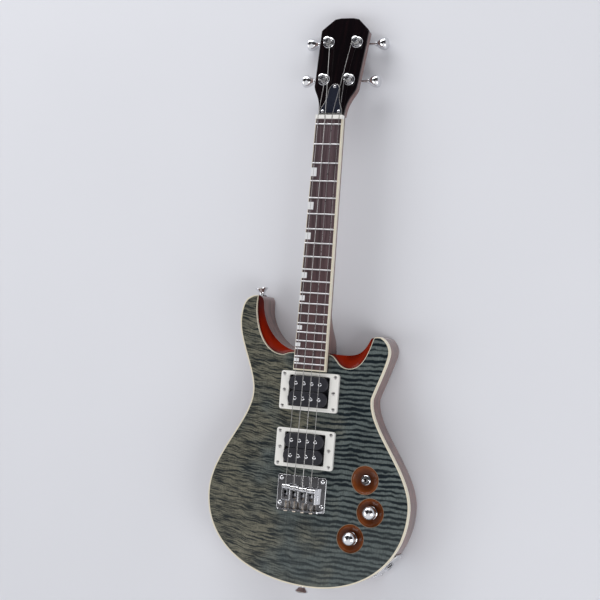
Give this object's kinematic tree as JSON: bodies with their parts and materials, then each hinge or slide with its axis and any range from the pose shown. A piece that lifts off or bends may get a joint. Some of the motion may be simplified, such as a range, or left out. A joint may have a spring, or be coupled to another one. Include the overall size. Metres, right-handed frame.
{
  "type": "electric tenor ukulele",
  "caption": "Solid-body electric tenor ukulele with a double-cutaway figured top, humbucking pickups, an adjustable string-through bridge, dished control recesses and geared tuners.",
  "frame": {"origin": "on the flat back, on the centre line, under the line where the scale length ends at the saddles", "axes": "+Y along the neck towards the headstock, +Z out of the face towards the player's picking hand, +X towards the treble side"},
  "size_m": [0.2581, 0.6978, 0.0537],
  "materials": {
    "mahogany": "gloss",
    "figured_maple": "gloss",
    "cream_binding": "gloss",
    "rosewood": "satin",
    "bone_white": "satin",
    "black_gloss": "gloss",
    "dark_plastic": "gloss",
    "ring_white": "gloss",
    "coil_black": "satin",
    "chrome": "polished",
    "string_steel": "wound",
    "steel": "plain"
  },
  "bodies": {
    "instrument": {"body": "mahogany", "top_plate": "figured_maple", "body_binding": "cream_binding", "control_cover": "dark_plastic", "neck": "mahogany", "headplate": "black_gloss", "truss_rod_cover": "dark_plastic", "truss_rod": "steel", "fingerboard": "rosewood", "fingerboard_binding": "cream_binding", "nut": "bone_white", "neck_pickup_ring": "ring_white", "bridge_pickup_ring": "ring_white", "bridge_plate": "chrome", "intonation_spring_1": "steel", "intonation_spring_2": "steel", "intonation_spring_3": "steel", "intonation_spring_4": "steel", "string_g": "string_steel", "string_c": "string_steel", "string_e": "string_steel", "string_a": "string_steel", "tuner_housing_g": "chrome", "tuner_housing_c": "chrome", "tuner_housing_e": "chrome", "tuner_housing_a": "chrome", "volume_pot": "steel", "tone_pot": "steel", "toggle_switch": "steel", "toggle_nut": "chrome", "jack_plate": "chrome", "jack_socket": "chrome", "strap_button_horn": "chrome", "strap_button_end": "chrome"},
    "neck_pickup": {"neck_pickup_coils": "coil_black", "neck_pickup_baseplate": "steel"},
    "bridge_pickup": {"bridge_pickup_coils": "coil_black", "bridge_pickup_baseplate": "steel"},
    "saddle_block_1": {"saddle_1": "chrome"},
    "saddle_block_2": {"saddle_2": "chrome"},
    "saddle_block_3": {"saddle_3": "chrome"},
    "saddle_block_4": {"saddle_4": "chrome"},
    "screw_1": {"intonation_screw_1": "steel"},
    "screw_2": {"intonation_screw_2": "steel"},
    "screw_3": {"intonation_screw_3": "steel"},
    "screw_4": {"intonation_screw_4": "steel"},
    "post_g": {"tuner_post_g": "chrome"},
    "post_c": {"tuner_post_c": "chrome"},
    "post_e": {"tuner_post_e": "chrome"},
    "post_a": {"tuner_post_a": "chrome"},
    "button_g": {"tuner_button_g": "chrome"},
    "button_c": {"tuner_button_c": "chrome"},
    "button_e": {"tuner_button_e": "chrome"},
    "button_a": {"tuner_button_a": "chrome"},
    "volume_control": {"volume_knob": "chrome", "volume_pot_shaft": "steel"},
    "tone_control": {"tone_knob": "chrome", "tone_pot_shaft": "steel"},
    "switch_lever": {"toggle_lever": "chrome"}
  },
  "joints": [
    {"name": "tuner_button_g_turn", "type": "hinge", "parent": "instrument", "child": "button_g", "pos_m": [-0.0163, 0.48987, 0.01903], "axis": [1, 0, 0], "continuous": true},
    {"name": "tuner_button_c_turn", "type": "hinge", "parent": "instrument", "child": "button_c", "pos_m": [-0.0184, 0.53811, 0.0079], "axis": [1, 0, 0], "continuous": true},
    {"name": "tuner_button_e_turn", "type": "hinge", "parent": "instrument", "child": "button_e", "pos_m": [0.0184, 0.53811, 0.0079], "axis": [1, 0, 0], "continuous": true},
    {"name": "tuner_button_a_turn", "type": "hinge", "parent": "instrument", "child": "button_a", "pos_m": [0.0163, 0.48987, 0.01903], "axis": [1, 0, 0], "continuous": true},
    {"name": "tuner_post_g_turn", "type": "hinge", "parent": "instrument", "child": "post_g", "pos_m": [-0.0163, 0.48831, 0.03448], "axis": [0, 0.225, 0.9744], "continuous": true},
    {"name": "tuner_post_c_turn", "type": "hinge", "parent": "instrument", "child": "post_c", "pos_m": [-0.0184, 0.53654, 0.02335], "axis": [0, 0.225, 0.9744], "continuous": true},
    {"name": "tuner_post_e_turn", "type": "hinge", "parent": "instrument", "child": "post_e", "pos_m": [0.0184, 0.53654, 0.02335], "axis": [0, 0.225, 0.9744], "continuous": true},
    {"name": "tuner_post_a_turn", "type": "hinge", "parent": "instrument", "child": "post_a", "pos_m": [0.0163, 0.48831, 0.03448], "axis": [0, 0.225, 0.9744], "continuous": true},
    {"name": "intonation_screw_1_turn", "type": "hinge", "parent": "instrument", "child": "screw_1", "pos_m": [-0.01628, -0.0303, 0.0476], "axis": [0, 1, 0], "range_deg": [-2160, 2160]},
    {"name": "intonation_screw_2_turn", "type": "hinge", "parent": "instrument", "child": "screw_2", "pos_m": [-0.00543, -0.0303, 0.0476], "axis": [0, 1, 0], "range_deg": [-2160, 2160]},
    {"name": "intonation_screw_3_turn", "type": "hinge", "parent": "instrument", "child": "screw_3", "pos_m": [0.00543, -0.0303, 0.0476], "axis": [0, 1, 0], "range_deg": [-2160, 2160]},
    {"name": "intonation_screw_4_turn", "type": "hinge", "parent": "instrument", "child": "screw_4", "pos_m": [0.01628, -0.0303, 0.0476], "axis": [0, 1, 0], "range_deg": [-2160, 2160]},
    {"name": "saddle_1_slide", "type": "slide", "parent": "instrument", "child": "saddle_block_1", "axis": [0, 1, 0], "range_m": [-0.003, 0.003], "deforming": ["intonation_spring_1", "string_g"]},
    {"name": "saddle_2_slide", "type": "slide", "parent": "instrument", "child": "saddle_block_2", "axis": [0, 1, 0], "range_m": [-0.003, 0.003], "deforming": ["intonation_spring_2", "string_c"]},
    {"name": "saddle_3_slide", "type": "slide", "parent": "instrument", "child": "saddle_block_3", "axis": [0, 1, 0], "range_m": [-0.003, 0.003], "deforming": ["intonation_spring_3", "string_e"]},
    {"name": "saddle_4_slide", "type": "slide", "parent": "instrument", "child": "saddle_block_4", "axis": [0, 1, 0], "range_m": [-0.003, 0.003], "deforming": ["intonation_spring_4", "string_a"]},
    {"name": "neck_pickup_height", "type": "slide", "parent": "instrument", "child": "neck_pickup", "axis": [0, 0, 1], "range_m": [-0.003, 0.0015]},
    {"name": "bridge_pickup_height", "type": "slide", "parent": "instrument", "child": "bridge_pickup", "axis": [0, 0, 1], "range_m": [-0.003, 0.0015]},
    {"name": "volume_turn", "type": "hinge", "parent": "instrument", "child": "volume_control", "pos_m": [0.0875, -0.0226, 0.037], "axis": [0, 0, 1], "range_deg": [-150, 150]},
    {"name": "tone_turn", "type": "hinge", "parent": "instrument", "child": "tone_control", "pos_m": [0.0652, -0.0552, 0.037], "axis": [0, 0, 1], "range_deg": [-150, 150]},
    {"name": "switch_throw", "type": "hinge", "parent": "instrument", "child": "switch_lever", "pos_m": [0.078, 0.0144, 0.0356], "axis": [1, 0, 0], "range_deg": [-12, 12]}
  ],
  "couplings": [
    {"joint": "tuner_post_g_turn", "follows": "tuner_button_g_turn", "ratio": -0.071429},
    {"joint": "tuner_post_c_turn", "follows": "tuner_button_c_turn", "ratio": -0.071429},
    {"joint": "tuner_post_e_turn", "follows": "tuner_button_e_turn", "ratio": 0.071429},
    {"joint": "tuner_post_a_turn", "follows": "tuner_button_a_turn", "ratio": 0.071429},
    {"joint": "intonation_screw_1_turn", "follows": "saddle_1_slide", "rad_per_m": -12566},
    {"joint": "intonation_screw_2_turn", "follows": "saddle_2_slide", "rad_per_m": -12566},
    {"joint": "intonation_screw_3_turn", "follows": "saddle_3_slide", "rad_per_m": -12566},
    {"joint": "intonation_screw_4_turn", "follows": "saddle_4_slide", "rad_per_m": -12566}
  ]
}
